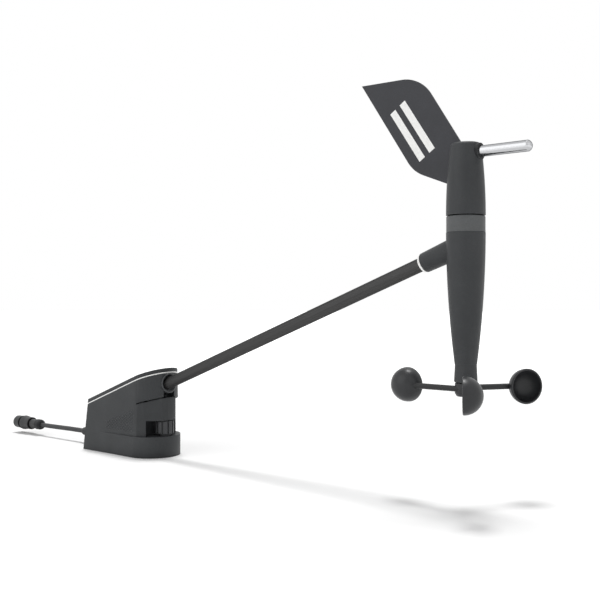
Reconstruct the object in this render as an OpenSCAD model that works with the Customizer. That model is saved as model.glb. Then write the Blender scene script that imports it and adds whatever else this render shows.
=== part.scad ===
// Masthead wind sensor: a three-cup anemometer and a wind vane on a raked arm.
// Origin at the middle of the mast block's underside, +X towards the sensor, +Z up, millimetres.

/* [Mast block] */
// Length of the block from its flat rear to its round front
block_len = 108; // [102:1:118]
// Width of the block across its base
block_w = 53; // [50:1:60]
// Lean of each side over the full height
side_lean = 1.6; // [0.6:0.1:2.4]
// Lean of the rear face over the full height
rear_lean = 11.8; // [8:0.2:13]
// Height of the tray under the thumbwheel bay
tray_h = 21; // [19:0.5:23]
// Height of the lid joint over the middle of the block
joint_h = 66; // [65:0.2:68]
// Thickness of the walls
wall = 2.4; // [2:0.1:3]
// Thickness of the floor
floor_t = 3.5; // [3:0.1:4.5]
// Thickness of the white trim under the lid
trim_t = 1; // [0.8:0.1:1.8]
// Thickness of the lid above the trim
lid_t = 4; // [3.4:0.1:4.6]
// Spacing of the mast screws along the block
mast_pitch_x = 56; // [52:1:58]
// Spacing of the mast screws across the block
mast_pitch_y = 26; // [24:0.5:29]
// Diameter of the mast screw holes
mast_hole_d = 4.5; // [3.5:0.1:5]

/* [Thumbwheel lock] */
// Diameter of the thumbwheel
wheel_d = 19; // [18:0.5:19.5]
// Height of the thumbwheel
wheel_h = 13.4; // [11:0.2:15]
// Number of grips round the thumbwheel
wheel_grips = 10; // [8:1:12]
// Diameter of the lock bolt
bolt_d = 5; // [4:0.1:6]
// Width of the bay across the block
bay_w = 40; // [36:0.5:40.5]

/* [Arm] */
// Distance from the middle of the block to the pod axis
reach = 391.4; // [350:0.2:440]
// Rake of the arm above the horizontal
arm_angle = 20.6; // [19:0.1:22]
// Outer diameter of the arm tube
arm_d = 11.2; // [10.6:0.1:11.6]
// Wall of the arm tube
arm_wall = 1.3; // [1:0.1:1.8]
// Outer diameter of the spigot on the arm's lower end
spigot_d = 13; // [12.6:0.1:13.6]
// Length of the spigot
spigot_len = 33; // [31:0.5:36]
// Wall of the socket sleeve
sleeve_wall = 1.75; // [1.4:0.05:2]

/* [Pod] */
// Greatest diameter of the pod
pod_d = 30.2; // [28.4:0.02:32]
// Length of the pod shell below the arm axis
pod_below = 92.7; // [90:0.5:96]
// Wall of the pod shell
pod_wall = 1.8; // [1.5:0.1:2.1]
// Height of the pale band
band_h = 12.7; // [10:0.1:14]
// Height of the collar over the rotor
collar_h = 13.9; // [12:0.1:15]
// Length of the boss that takes the arm, from the pod axis
boss_len = 39.6; // [38:0.2:46]

/* [Vane] */
// Height of the turning cap
cap_h = 55.5; // [54:0.1:58]
// Running gap between the band and the cap
cap_gap = 0.7; // [0.5:0.1:1.5]
// Distance from the axis to the tip of the fin
fin_reach = 98.2; // [90:0.2:110]
// Height of the fin's top edge above the cap
fin_rise = 57.5; // [52:0.5:62]
// Thickness of the fin
fin_t = 1.8; // [1.4:0.1:2.4]
// Diameter of the counterweight bar
weight_d = 8.6; // [7.6:0.1:8.8]
// Distance from the axis to the end of the counterweight bar
weight_reach = 54.8; // [48:0.2:64]

/* [Rotor] */
// Radius from the axis to the middle of each cup
cup_circle_r = 53.8; // [50:0.2:62]
// Outer diameter of a cup
cup_d = 28; // [25:0.2:31]
// Wall of a cup
cup_wall = 1.2; // [0.9:0.1:1.6]
// Diameter of the spokes
spoke_d = 4.6; // [4:0.1:4.8]
// Diameter of the hub
hub_d = 16.8; // [16.4:0.1:17.4]
// Height of the hub
hub_h = 10.2; // [9.6:0.1:11.2]
// Angle of the first cup about the axis, from +X
first_cup_angle = -62; // [-90:0.5:90]

/* [Cable] */
// Diameter of the signal cable
cable_d = 5.2; // [4.6:0.1:5.4]
// Length of the strain relief behind the block
boot_len = 35; // [30:1:36]
// Greatest diameter of the plug
plug_d = 16.3; // [16.1:0.1:18]
// Length of the plug
plug_len = 49.6; // [48:0.1:52]

/* [Hidden] */

$fn = 96;

// Colours
charcoal = "#48494b";
dark_grey = "#3a3b3d";
band_grey = "#67696a";
trim_white = "#f4f4f2";
steel = "#c9cccf";
brass = "#b8985a";
rubber = "#202124";
board_green = "#2f5d43";
magnet_grey = "#5b5d60";

// Fits: a sliding or turning fit, a push fit and the room left between moving pieces
run_fit = 0.05;
push_fit = 0.02;
free_gap = 0.3;
// Overlap that makes cuts clean
eps = 0.5;

// Block outline
rear_x = -block_len / 2;
nose_x = block_len / 2 - block_w / 2;
front_x = block_len / 2;
lean_h = 90;
form_top = 110;
far = 90;
tan_arm = tan(arm_angle);
// Height of the arm axis and of the nose's underside over the middle of the block
arm_base_z = joint_h - 11.3;
nose_under_h = arm_base_z - 9.5;
nose_rise = 0.3;
// Small chamfers and the sinking of one solid into another
edge_break = 0.6;
edge_small = 0.4;
sink = 0.1;

// Lid joint, which bends down a little over the front
bend_x = nose_x;
bend_drop = 0.0012;
bend_steps = 6;
bend_past = 4;
lip_h = 3.4;
lip_t = 1.6;

// Tray, which spreads a little towards the front
flare_x = nose_x - 55;
tray_out = 1.4;
// Corner of the middle wall under the nose, half its flat front and the wall left in front of the bolt
recess_x = nose_x + 3.5;
corner_x = nose_x + 10.5;
corner_y = 21.5;
mid_half = 6.5;
slit_h = 1.3;
slit_deep = 3;

// Wheel bay and lock
wheel_out = 1;
wheel_x = front_x - wheel_d / 2 + wheel_out;
washer_h = 1.6;
washer_d = 12;
wheel_z = tray_h + washer_h + free_gap;
wheel_chamfer = 0.8;
groove_w = 1.6;
groove_deep = 1.8;
wheel_rest = -2.3;
bay_over = 0.5;
bay_behind = 3.3;
bay_top = wheel_z + wheel_h + bay_over;
bay_x = wheel_x - wheel_d / 2 - bay_behind;
bolt_rise = 1.6;
bolt_low = wheel_z + bolt_rise;

// Rooms inside the block
room_front = bay_x - wall;
pocket_y = [11.5, 19];
pocket_len = 5.5;
pocket_floor = 5.2;
pocket_z = bay_top + pocket_floor;

// Arm axis, which runs up from the block to the pod axis
arm_z = arm_base_z + reach * tan_arm;
mouth_set_back = 4;
mouth_x = front_x - mouth_set_back;
mouth_flare = 0.9;
mouth_s = (reach - mouth_x) / cos(arm_angle);
spigot_r = spigot_d / 2;
sleeve_bore_r = spigot_r + run_fit;
sleeve_r = sleeve_bore_r + sleeve_wall;
spigot_set_in = 1;
spigot_start = mouth_s + spigot_set_in;
spigot_end = spigot_start + spigot_len;
contact_gap = 2;
contact_start = spigot_end + contact_gap;
contact_len = 6;
sleeve_end = contact_start + contact_len;
tube_in = 20;
key_w = 2;
key_h = 0.9;
key_len = 12;
key_room = 2;
slot_w = 14;
slot_len = 10;
slot_deep = 13.6;
rib_x = [14, 17];
rib_w = 20;

// Contacts between the arm and the block
pin_count = 4;
pin_r = 0.6;
pin_circle_r = 3.4;
pin_in = 3;
pin_out = 5;
pin_clear = 0.1;
pin_room = 0.4;
seal_places = [24, 28.5];
seal_section_r = 0.45;
seal_room = 0.2;
lead_r = 1.6;
lead_clear = 0.2;

// Mast screws, lid screws and board
mast_mid_x = -6;
boss_d = 10;
boss_rise = 1.5;
boss_z = floor_t + boss_rise;
lid_screw_in = 14;
lid_screw_x = rear_x + lid_screw_in;
lid_screw_y = 17;
lid_post_r = 3.5;
screw_r = 1.4;
screw_head_r = 2.8;
screw_head_h = 2;
screw_head_sink = 0.6;
screw_len = 12;
board_x = rear_x + 24;
board_len = 38;
board_w = 18;
board_z = 8;
board_t = 1.6;
board_post_in = 6;
board_post_r = 2.5;
header_len = 6;
header_w = 14;
header_over = 1;
ribbon_x = 3;
ribbon_t = 0.6;
ribbon_w = 6;
ribbon_drop = 8;

// Cable, its strain relief and its clamp
cable_r = cable_d / 2;
cable_z = 13;
boot_root_r = 6.5;
boot_tip_r = 4.55;
boot_flange_r = 8;
boot_flange_x = rear_x + 4.8;
boot_flange_t = 2;
boot_round = [1.9, 4];
clamp_x = boot_flange_x + boot_flange_t + free_gap;
clamp_len = 8.9;
clamp_w = 16;
clamp_top = 17.5;
clamp_screw_y = 5.4;
clamp_head_r = 2.4;
clamp_head_h = 1.6;
clamp_hole_floor = 2;
clamp_screw_floor = 3;
boot_end_x = rear_x - boot_len;
plug_x = rear_x - 114.6;
plug_z = 12.5;
cable_sides = 12;
// Route of the cable from the board to the inside of the plug, as x from the rear face and z
cable_run = [
    [24, 13], [12, 13], [0, 13], [-12, 13], [-24, 13], [-35, 13], [-43, 13], [-51, 13],
    [-59, 13], [-67, 12.9], [-75, 12.8], [-83, 12.7], [-91, 12.6], [-99, 12.5],
    [-108, 12.5], [-117.5, 12.5], [-127, 12.5]
];

// Plug, measured from its cable end
plug_clamp_len = 8.3;
plug_clamp_r = 5.9;
plug_clamp_round = [2.6, 3.6];
plug_neck_end = 18.6;
plug_neck_r = 5.5;
plug_front_r = 5;
plug_insert_r = 4.2;
plug_insert_start = 30;
plug_room_r = 3.6;
plug_ring_gap = 1.6;
plug_ring_start = plug_neck_end + plug_ring_gap;
plug_ring_bore_r = plug_front_r + free_gap;
plug_ring_in = [1.1, 0.9];
plug_ring_waist = 7.6;
plug_cone_len = 5.6;
plug_groove = 34.5;
plug_groove_w = 4.6;
plug_groove_deep = 1.7;
plug_nose_in = 1.1;
plug_nose_round = [0.75, 1.4];
plug_front_gap = 1;
plug_pins = 5;
plug_pin_r = 0.8;
plug_pin_circle_r = 3;
plug_pin_len = 12;

// Pod levels
pod_widest = arm_z + 11;
band_fit = 0.2;
pod_arc = 825;
shell_z = arm_z - pod_below;
band_z = arm_z + 8.3;
band_top = band_z + band_h;
band_r = pod_d / 2 - band_fit;
band_rim_t = 4.5;
band_spigot_t = 1.6;
band_seal_h = 1.5;
collar_z = shell_z - collar_h;
collar_fit = 0.2;
collar_top_r = pod_r(shell_z) - collar_fit;
collar_low_r = 9;
profile_steps = 14;
boss_root_r = 8.95;
boss_end_r = 8.05;
boss_round = [0.5, 0.9];
boss_start = 4;
ring_t = 2.2;
ring_r = 7.4;
tube_end_s = 19.2;

// Vane bearings, shaft and sensing
vane_shaft_r = 2;
vane_bearing_r = 5.5;
bearing_h = 4;
vane_tube_r = 7.2;
vane_tube_low = band_z - 15.8;
vane_tube_top = band_top + 5.5;
vane_low_bearing = vane_tube_low + 1;
vane_top_bearing = vane_tube_top - 1 - bearing_h;
band_spigot_h = 7.8;
band_web_t = 3.2;
shoulder = 1;
vane_clip_h = 2;
vane_clip_r = 3.4;
vane_shaft_low = vane_low_bearing - free_gap - vane_clip_h - 2;
vane_magnet_r = 4;
vane_magnet_h = 3.5;
vane_board_z = vane_shaft_low - vane_magnet_h - 4;
vane_board_fit = 0.3;
ledge_t = 2;
ledge_w = 1.8;
chip_w = 5;
chip_h = 1.2;
lead_turn_s = 11.2;
lead_drop_r = 1.8;
pod_lead_x = 5;
pod_lead_r = 1.2;

// Rotor bearings, shaft and sensing
rotor_shaft_r = 1.5;
rotor_bearing_r = 5;
rotor_tube_r = pod_r(shell_z) - pod_wall - collar_fit;
rotor_tube_top = shell_z + 20.8;
rotor_low_bearing = collar_z + 1;
rotor_top_bearing = rotor_tube_top - 11;
rotor_bore_r = 4;
rotor_magnet_r = 3;
rotor_magnet_h = 3;
rotor_shaft_top = rotor_top_bearing + bearing_h + 1.5;
rotor_board_fit = 1;
rotor_board_r = pod_r(rotor_tube_top) - pod_wall - rotor_board_fit;
rotor_chip_w = 4;
rotor_chip_h = 1;

// Vane cap, fin and counterweight
cap_z = band_top + cap_gap;
cap_top = cap_z + cap_h;
cap_arc = 440;
cap_wall = 2;
cap_edge = 2.5;
post_r = 4.2;
post_low = vane_top_bearing + bearing_h + free_gap;
shaft_in_cap = 34;
fin_root = post_r + edge_small;
fin_tip_rise = 1;
fin_front_rise = 2.2;
fin_root_drop = 16.6;
fin_corner_u = 40.7;
fin_heel_u = 47;
fin_heel_z = cap_top - 17.9;
fin_top = cap_top + fin_rise;
fin_nose_r = 33;
fin_heel_r = 31;
fin_fit = 0.05;
weight_z = cap_top - 7.5;
bush_r = 6.5;
bush_end = 13;
weight_dome = 3;

// Rotor levels
rotor_gap = 0.6;
hub_top = collar_z - rotor_gap;
hub_z = hub_top - hub_h;
cup_z = hub_z + 5.9;
hub_chamfer = [1.5, 2.3];
spoke_off = 6;
spoke_in = 1;
spoke_fit = 0.05;
cup_count = 3;
hub_screw_head_r = 3;
hub_screw_head_h = 1.6;
hub_screw_len = 4;
hub_screw_r = 1.1;
hub_shaft_in = 8;

// Level of the lid screws' seats
lid_seat_z = joint_z(lid_screw_x) + trim_t + lid_t - screw_head_h - screw_head_sink;

// Height of the nose's underside at a place along the block
function nose_z(x) = nose_under_h + nose_rise * x;

// Half width of the block at a height
function side_r(z) = block_w / 2 - side_lean * z / lean_h;

// Height of the lid joint at a place along the block
function joint_z(x) = joint_h + tan_arm * x - (x > bend_x ? bend_drop * pow(x - bend_x, 2) : 0);

// Places along the block where the joint line has a point
function joint_xs() =
    concat([-far], [for (i = [0:bend_steps]) bend_x + i * (block_w / 2 + bend_past) / bend_steps]);

// Radius of the pod shell and of the cap at a height
function pod_r(z) = pod_d / 2 - pow(pod_widest - z, 2) / (2 * pod_arc);
function cap_r(z) = pod_d / 2 - pow(z - cap_z, 2) / (2 * cap_arc);

// Levels between two heights
function levels(a, b) = [for (i = [0:profile_steps]) a + (b - a) * i / profile_steps];

function unit(v) = v / norm(v);

// Points of the arc that rounds the corner p between the points a and b
function corner_arc(a, p, b, r, n) =
    let (u = unit(a - p), v = unit(b - p), half = acos(u * v) / 2)
    let (c = p + unit(u + v) * r / sin(half))
    let (s = p + u * r / tan(half) - c, e = p + v * r / tan(half) - c)
    let (a0 = atan2(s[1], s[0]), turn = (atan2(e[1], e[0]) - a0 + 540) % 360 - 180)
    [for (i = [0:n]) c + r * [cos(a0 + turn * i / n), sin(a0 + turn * i / n)]];

// Extrudes an outline of x and z to both sides of the middle plane
module side_cut(w) {
    rotate([90, 0, 0])
        linear_extrude(height = w, center = true)
            children();
}

// Puts +Z down the arm, from the pod axis to the block, with +X on its upper side
module on_arm() {
    translate([reach, 0, arm_z])
        rotate([0, -90 - arm_angle, 0])
            children();
}

// Puts +Z along -X, down the cable
module on_cable(x, z) {
    translate([x, 0, z])
        rotate([0, -90, 0])
            children();
}

// Puts the origin on the pod axis
module on_pod() {
    translate([reach, 0, 0])
        children();
}

module tube(r, bore, low, high) {
    translate([0, 0, low])
        difference() {
            cylinder(r = r, h = high - low);
            translate([0, 0, -eps])
                cylinder(r = bore, h = high - low + 2 * eps);
        }
}

module rod(r, low, high) {
    translate([0, 0, low])
        cylinder(r = r, h = high - low);
}

// The plan of the block, round in front, with leaning sides, drawn in all round by an inset
module plan_form(inset) {
    r0 = side_r(0) - inset;
    r1 = side_r(form_top) - inset;
    intersection() {
        translate([nose_x, 0, 0])
            cylinder(r1 = r0, r2 = r1, h = form_top);
        translate([nose_x, -block_w, 0])
            cube([block_w, 2 * block_w, form_top]);
    }
    translate([rear_x - far / 2, 0, 0])
        rotate([90, 0, 90])
            linear_extrude(height = nose_x - rear_x + far / 2)
                polygon([[-r0, 0], [r0, 0], [r1, form_top], [-r1, form_top]]);
}

// The space in front of the leaning rear face
module rear_half(inset) {
    side_cut(2 * block_w)
        polygon([
            [rear_x + inset, 0], [far, 0], [far, form_top],
            [rear_x + inset + rear_lean * form_top / lean_h, form_top]
        ]);
}

// The space below the lid joint raised by an amount
module under_joint(rise) {
    side_cut(2 * block_w)
        polygon(concat([[front_x + far, 0], [-far, 0]], [for (x = joint_xs()) [x, joint_z(x) + rise]],
            [[front_x + far, joint_z(front_x) + rise]]));
}

// A layer of the block between two heights over the lid joint
module joint_layer(inset, low, high) {
    difference() {
        intersection() {
            plan_form(inset);
            rear_half(inset);
            under_joint(high);
        }
        under_joint(low);
    }
}

// The block's outer form below the lid joint, with its nose, recess and wheel bay
module block_form() {
    back = [recess_x - eps, side_r(tray_h)];
    half = [back, [recess_x, side_r(tray_h)], [corner_x, corner_y], [front_x, mid_half]];
    core = [for (p = half) [p[0] - slit_deep / 2, p[1] - slit_deep]];
    difference() {
        union() {
            intersection() {
                plan_form(0);
                rear_half(0);
                under_joint(0);
            }
            tray_form();
        }
        difference() {
            side_cut(2 * block_w)
                polygon([
                    [recess_x, tray_h], [far, tray_h], [far, nose_z(far)], [recess_x, nose_z(recess_x)]
                ]);
            intersection() {
                mid_wall(half);
                side_cut(2 * block_w)
                    polygon([
                        [0, 0], [far, 0], [far, nose_z(far) - slit_h], [0, nose_z(0) - slit_h]
                    ]);
            }
            mid_wall(core);
        }
        translate([bay_x, -bay_w / 2, tray_h])
            cube([far, bay_w, bay_top - tray_h]);
    }
}

// A wall on the plan that the half outline gives on both sides
module mid_wall(half) {
    linear_extrude(height = form_top)
        polygon(concat(half, [for (i = [len(half) - 1:-1:0]) [half[i][0], -half[i][1]]]));
}

// The tray's own form, round in front
module tray_form() {
    r = side_r(0) + tray_out;
    intersection() {
        translate([nose_x, 0, 0])
            cylinder(r = r, h = tray_h);
        translate([nose_x, -block_w, 0])
            cube([block_w, 2 * block_w, tray_h]);
    }
    linear_extrude(height = tray_h)
        polygon([[flare_x, -side_r(tray_h)], [nose_x, -r], [nose_x, r], [flare_x, side_r(tray_h)]]);
}

// The rooms inside the block, open under the lid
module block_room() {
    intersection() {
        plan_form(wall);
        rear_half(wall);
        translate([-far, -far, floor_t])
            cube([far + room_front, 2 * far, form_top]);
    }
    for (side = [0, 1])
        mirror([0, side, 0])
            translate([bay_x, pocket_y[0], pocket_z])
                cube([pocket_len, pocket_y[1] - pocket_y[0], form_top]);
}

module at_lid_screws() {
    for (side = [-1, 1])
        translate([lid_screw_x, side * lid_screw_y, 0])
            children();
}

module at_mast_screws() {
    for (i = [-1, 1])
        for (j = [-1, 1])
            translate([mast_mid_x + i * mast_pitch_x / 2, j * mast_pitch_y / 2, 0])
                children();
}

module block_housing() {
    color(charcoal)
        difference() {
            union() {
                difference() {
                    block_form();
                    block_room();
                }
                intersection() {
                    at_lid_screws() rod(lid_post_r, floor_t - eps, form_top);
                    under_joint(0);
                }
                at_mast_screws() rod(boss_d / 2, floor_t - eps, boss_z);
                for (x = [board_x + board_post_in, board_x + board_len - board_post_in])
                    translate([x, 0, 0])
                        rod(board_post_r, floor_t - eps, board_z);
                translate([rib_x[0], -rib_w / 2, floor_t - eps])
                    cube([rib_x[1] - rib_x[0], rib_w, arm_base_z + tan_arm * rib_x[0] - floor_t]);
            }
            at_mast_screws() rod(mast_hole_d / 2, -eps, boss_z + eps);
            at_lid_screws() rod(screw_r + push_fit, lid_seat_z - screw_len, form_top);
            on_arm() {
                rod(sleeve_r + push_fit, mouth_s - far, sleeve_end + far / 4);
                translate([-slot_deep, -slot_w / 2, mouth_s - far])
                    cube([slot_deep - spigot_r, slot_w, far + slot_len]);
            }
            translate([wheel_x, 0, 0])
                rod(bolt_d / 2 + run_fit, bay_top - eps, arm_base_z + tan_arm * wheel_x);
            on_cable(0, cable_z)
                rod(boot_root_r + push_fit, -boot_flange_x, far);
        }
}

module block_lid() {
    color(charcoal)
        difference() {
            union() {
                joint_layer(0, trim_t, trim_t + lid_t);
                intersection() {
                    difference() {
                        joint_layer(wall + free_gap, -lip_h, trim_t + eps);
                        plan_and_rear(wall + free_gap + lip_t);
                    }
                    translate([-far, -far, 0])
                        cube([far + room_front - lip_t, 2 * far, form_top]);
                }
                intersection() {
                    at_lid_screws() rod(lid_post_r, 0, form_top);
                    difference() {
                        under_joint(trim_t + eps);
                        under_joint(0);
                    }
                }
            }
            at_lid_screws() {
                rod(screw_r + free_gap, 0, form_top);
                rod(screw_head_r + free_gap, lid_seat_z, form_top);
            }
        }
}

// The plan drawn in by an inset, behind the leaning rear face
module plan_and_rear(inset) {
    intersection() {
        plan_form(inset);
        rear_half(inset);
    }
}

module lid_trim() {
    color(trim_white)
        difference() {
            joint_layer(0, 0, trim_t);
            plan_and_rear(wall);
        }
}

module lid_screws() {
    color(steel)
        at_lid_screws() {
            rod(screw_r, lid_seat_z - screw_len, lid_seat_z + eps);
            difference() {
                rod(screw_head_r, lid_seat_z, lid_seat_z + screw_head_h);
                translate([0, 0, lid_seat_z + screw_head_h / 2])
                    cylinder(r = screw_r, h = screw_head_h, $fn = 6);
            }
        }
}

// A tube in the nose with a keyway in its upper side and a hole for the lock bolt
module socket_sleeve() {
    color(dark_grey)
        difference() {
            on_arm()
                difference() {
                    tube(sleeve_r, sleeve_bore_r, mouth_s, sleeve_end);
                    translate([0, -key_w / 2 - free_gap, mouth_s - eps])
                        cube([spigot_r + key_h + free_gap, key_w + 2 * free_gap, key_len + key_room + eps]);
                    translate([0, 0, mouth_s - eps])
                        cylinder(r1 = sleeve_bore_r + mouth_flare, r2 = sleeve_bore_r, h = mouth_flare + eps);
                }
            translate([wheel_x, 0, 0])
                rod(bolt_d / 2 + free_gap, 0, arm_base_z + tan_arm * wheel_x);
        }
}

module at_contacts() {
    for (i = [0:pin_count - 1])
        rotate([0, 0, 45 + i * 360 / pin_count])
            translate([pin_circle_r, 0, 0])
                children();
}

module contact_block() {
    color(rubber)
        on_arm()
            difference() {
                rod(sleeve_bore_r - push_fit, contact_start, sleeve_end);
                at_contacts() rod(pin_r + pin_clear, contact_start - eps, spigot_end + pin_out + pin_room);
            }
}

// A flat lead from the board up to the back of the contact block
module contact_ribbon() {
    back_x = reach - sleeve_end * cos(arm_angle) - push_fit;
    back_z = arm_z - sleeve_end * sin(arm_angle);
    turn_z = back_z - ribbon_drop;
    color(rubber)
        side_cut(ribbon_w)
            polygon([
                [ribbon_x, board_z + board_t], [ribbon_x + ribbon_t, board_z + board_t],
                [ribbon_x + ribbon_t, turn_z], [back_x, back_z - ribbon_t],
                [back_x - ribbon_t * tan_arm, back_z + ribbon_t], [ribbon_x, turn_z + ribbon_t]
            ]);
}

module terminal_board() {
    color(board_green) {
        translate([board_x, -board_w / 2, board_z])
            cube([board_len, board_w, board_t]);
        translate([board_x, -header_w / 2, board_z + board_t - sink])
            cube([header_len, header_w, cable_z + cable_r + header_over - board_z - board_t]);
    }
}

module cable_clamp() {
    color(charcoal)
        difference() {
            translate([clamp_x, -clamp_w / 2, floor_t])
                cube([clamp_len, clamp_w, clamp_top - floor_t]);
            on_cable(0, cable_z)
                rod(cable_r + push_fit, -clamp_x - clamp_len - eps, -clamp_x + eps);
            at_clamp_screws() rod(screw_r + push_fit, floor_t + clamp_hole_floor, clamp_top + eps);
        }
}

module at_clamp_screws() {
    for (side = [-1, 1])
        translate([clamp_x + clamp_len / 2, side * clamp_screw_y, 0])
            children();
}

module clamp_screws() {
    color(steel)
        at_clamp_screws() {
            rod(screw_r, floor_t + clamp_screw_floor, clamp_top + eps);
            rod(clamp_head_r, clamp_top, clamp_top + clamp_head_h);
        }
}

// A rubber strain relief pushed through the rear wall, with a flange inside
module cable_boot() {
    flange = -boot_flange_x;
    root = flange - boot_flange_t;
    tip = -boot_end_x;
    bore = cable_r + push_fit;
    knob = [for (a = [0:15:90])
        [boot_tip_r - boot_round[0] * (1 - cos(a)), tip - boot_round[1] * (1 - sin(a))]];
    color(rubber)
        on_cable(0, cable_z)
            rotate_extrude()
                polygon(concat(
                    [[bore, root], [boot_flange_r, root], [boot_flange_r, flange]],
                    [[boot_root_r, flange], [boot_root_r, -rear_x]], knob, [[bore, tip]]
                ));
}

// One tube swept along the route, with a ring of points at each place on it
module signal_cable() {
    last = len(cable_run) - 1;
    rings = [for (p = cable_run) for (i = [0:cable_sides - 1])
        let (a = i * 360 / cable_sides) [rear_x + p[0], cable_r * cos(a), p[1] + cable_r * sin(a)]];
    sides = [for (k = [0:last - 1]) for (i = [0:cable_sides - 1])
        let (j = (i + 1) % cable_sides, a = k * cable_sides, b = a + cable_sides)
        [[a + i, a + j, b + i], [a + j, b + j, b + i]]];
    near_end = [for (i = [cable_sides - 1:-1:0]) i];
    far_end = [for (i = [0:cable_sides - 1]) last * cable_sides + i];
    color(dark_grey)
        polyhedron(points = rings, faces = concat([for (s = sides) for (f = s) f], [near_end, far_end]));
}

module plug_clamp() {
    bore = cable_r + push_fit;
    knob = [for (a = [0:15:90])
        [plug_clamp_r - plug_clamp_round[0] * (1 - sin(a)), plug_clamp_round[1] * (1 - cos(a))]];
    color(rubber)
        on_cable(plug_x, plug_z)
            rotate_extrude()
                polygon(concat(
                    [[bore, 0]], knob, [[plug_clamp_r, plug_clamp_len], [bore, plug_clamp_len]]
                ));
}

module plug_body() {
    front = plug_len - plug_front_gap;
    color(charcoal)
        on_cable(plug_x, plug_z)
            rotate_extrude()
                polygon([
                    [plug_room_r, plug_clamp_len], [plug_neck_r, plug_clamp_len],
                    [plug_neck_r, plug_neck_end], [plug_front_r, plug_neck_end], [plug_front_r, front],
                    [plug_insert_r + push_fit, front], [plug_insert_r + push_fit, plug_insert_start],
                    [plug_room_r, plug_insert_start]
                ]);
}

module at_plug_pins() {
    for (i = [0:plug_pins - 1])
        rotate([0, 0, i * 360 / plug_pins])
            translate([plug_pin_circle_r, 0, 0])
                children();
}

module plug_insert() {
    front = plug_len - plug_front_gap;
    color(rubber)
        on_cable(plug_x, plug_z)
            difference() {
                rod(plug_insert_r, plug_insert_start, front);
                at_plug_pins() rod(plug_pin_r + push_fit, front - plug_pin_len, plug_len);
            }
}

module plug_contacts() {
    front = plug_len - plug_front_gap;
    color(brass)
        on_cable(plug_x, plug_z)
            at_plug_pins()
                tube(plug_pin_r, plug_pin_r / 2, front - plug_pin_len, front - plug_front_gap);
}

module plug_nut() {
    r = plug_d / 2;
    nose_r = r - plug_nose_in;
    groove_r = r - plug_groove_deep;
    groove_end = plug_groove + plug_groove_w;
    waist_end = plug_ring_start + plug_ring_waist;
    nose = [for (a = [0:15:90])
        [nose_r - plug_nose_round[0] * (1 - cos(a)), plug_len - plug_nose_round[1] * (1 - sin(a))]];
    color(charcoal)
        on_cable(plug_x, plug_z)
            rotate_extrude()
                polygon(concat(
                    [[plug_ring_bore_r, plug_ring_start], [r - plug_ring_in[0], plug_ring_start]],
                    [[r - plug_ring_in[1], waist_end], [r, waist_end + plug_cone_len]],
                    [[r, plug_groove], [groove_r, plug_groove]],
                    [[groove_r, groove_end], [nose_r, groove_end]], nose, [[plug_ring_bore_r, plug_len]]
                ));
}

module wheel_washer() {
    color(charcoal)
        translate([wheel_x, 0, 0])
            tube(washer_d / 2, bolt_d / 2 + free_gap, tray_h, tray_h + washer_h);
}

module lock_wheel() {
    top = wheel_z + wheel_h;
    r = wheel_d / 2;
    bore = bolt_d / 2 + run_fit;
    color(charcoal)
        translate([wheel_x, 0, 0])
            difference() {
                rotate_extrude()
                    polygon([
                        [bore, wheel_z], [r - wheel_chamfer, wheel_z], [r, wheel_z + wheel_chamfer],
                        [r, top - wheel_chamfer], [r - wheel_chamfer, top], [bore, top]
                    ]);
                for (i = [0:wheel_grips - 1])
                    rotate([0, 0, wheel_rest + (i + 0.5) * 360 / wheel_grips])
                        translate([r - groove_deep, -groove_w / 2, wheel_z - eps])
                            cube([r, groove_w, wheel_h + 2 * eps]);
            }
}

// A round-ended bolt that the wheel's thread drives up against the spigot
module lock_bolt() {
    tip_z = arm_base_z + tan_arm * wheel_x - (spigot_r + bolt_d / 2 + free_gap) / cos(arm_angle);
    color(steel)
        translate([wheel_x, 0, 0]) {
            rod(bolt_d / 2, bolt_low, tip_z);
            translate([0, 0, tip_z])
                sphere(r = bolt_d / 2);
        }
}

module arm_tube() {
    color(charcoal)
        on_arm()
            tube(arm_d / 2, arm_d / 2 - arm_wall, tube_end_s, spigot_start + tube_in);
}

module arm_spigot() {
    groove_r = spigot_r - 2 * seal_section_r - push_fit;
    groove_half = seal_section_r + seal_room;
    color(dark_grey)
        on_arm()
            difference() {
                union() {
                    rod(spigot_r, spigot_start, spigot_end);
                    translate([0, -key_w / 2, spigot_start])
                        cube([spigot_r + key_h, key_w, key_len]);
                }
                rod(arm_d / 2 + push_fit, spigot_start - eps, spigot_start + tube_in);
                rod(lead_r + lead_clear, spigot_start, spigot_end + eps);
                at_contacts() rod(pin_r + push_fit, spigot_end - pin_in, spigot_end + eps);
                for (s = seal_places)
                    translate([0, 0, mouth_s + s])
                        tube(spigot_r + eps, groove_r, -groove_half, groove_half);
            }
}

module spigot_seals() {
    color(rubber)
        on_arm()
            for (s = seal_places)
                translate([0, 0, mouth_s + s])
                    rotate_extrude()
                        translate([spigot_r - seal_section_r, 0])
                            circle(r = seal_section_r, $fn = 32);
}

module spigot_pins() {
    color(brass)
        on_arm()
            at_contacts() rod(pin_r, spigot_end - pin_in, spigot_end + pin_out);
}

// The sensor lead, up the tube and down onto the vane board
module arm_lead() {
    color(rubber) {
        on_arm() rod(lead_r, lead_turn_s, spigot_end - pin_in);
        translate([reach - lead_turn_s * cos(arm_angle), 0, 0])
            rod(lead_drop_r, vane_board_z + board_t, arm_z - lead_turn_s * sin(arm_angle) + lead_drop_r);
    }
}

module arm_trim_ring() {
    color(trim_white)
        on_arm()
            rotate_extrude()
                polygon([
                    [arm_d / 2 + push_fit, boss_len], [ring_r, boss_len],
                    [ring_r, boss_len + ring_t - edge_break], [ring_r - edge_break, boss_len + ring_t],
                    [arm_d / 2 + push_fit, boss_len + ring_t]
                ]);
}

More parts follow.
